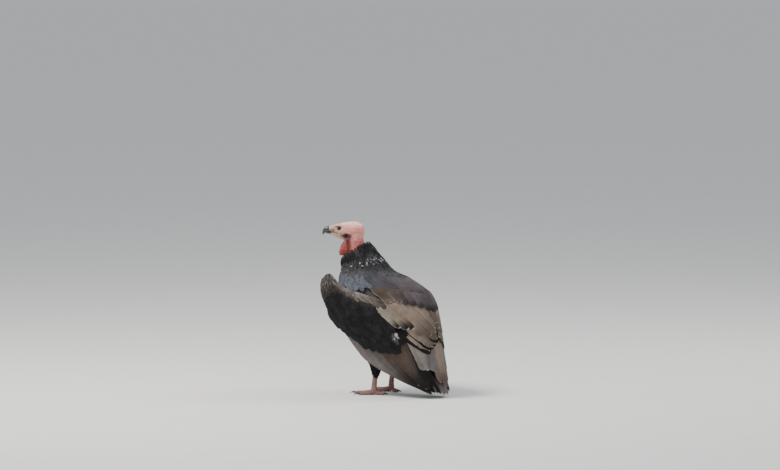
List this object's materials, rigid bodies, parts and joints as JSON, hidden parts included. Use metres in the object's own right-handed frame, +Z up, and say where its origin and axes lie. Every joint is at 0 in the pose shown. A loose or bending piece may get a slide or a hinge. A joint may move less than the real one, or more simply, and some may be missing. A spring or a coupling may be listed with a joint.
{
  "type": "vulture",
  "caption": "Life-size vulture standing at rest with folded wings, its bare head turned to the left above a dark feather ruff.",
  "frame": {"origin": "on the floor, at the middle of the box around the bird", "axes": "+Z up, -Y the way the body faces, +X the bird's left side"},
  "size_m": [0.273, 0.4861, 0.615],
  "materials": {
    "plumage_black": "matt black contour feathers",
    "plumage_slate": "slate-black contour feathers",
    "plumage_brown": "grey-brown flight feathers",
    "plumage_pale": "pale grey-brown flight feathers",
    "skin_red": "bare red skin, folded",
    "skin_face": "bare pinkish skin",
    "skin_leg": "scaly red skin",
    "horn": "dark horn",
    "eye": "wet, dark brown"
  },
  "bodies": {
    "root": {"trunk": "plumage_slate", "neck": "skin_red", "neck_ruff": "plumage_black", "head": "skin_face", "cere": "skin_face", "bill_upper": "horn", "bill_lower": "horn", "eye_left": "eye", "eye_right": "eye", "lappet_left": "skin_red", "lappet_right": "skin_red", "tail": "plumage_slate", "thigh_left": "plumage_black", "shank_left": "skin_leg", "foot_left": "skin_leg", "claw_left_middle": "horn", "claw_left_inner": "horn", "claw_left_outer": "horn", "claw_left_hind": "horn", "wing_left_coverts": "plumage_black", "wing_left_primaries": "plumage_brown", "wing_left_secondaries": "plumage_pale", "wing_left_tertials": "plumage_brown", "wing_left_scapulars": "plumage_slate", "thigh_right": "plumage_black", "shank_right": "skin_leg", "foot_right": "skin_leg", "claw_right_middle": "horn", "claw_right_inner": "horn", "claw_right_outer": "horn", "claw_right_hind": "horn", "wing_right_coverts": "plumage_black", "wing_right_primaries": "plumage_brown", "wing_right_secondaries": "plumage_pale", "wing_right_tertials": "plumage_brown", "wing_right_scapulars": "plumage_slate"}
  },
  "joints": []
}
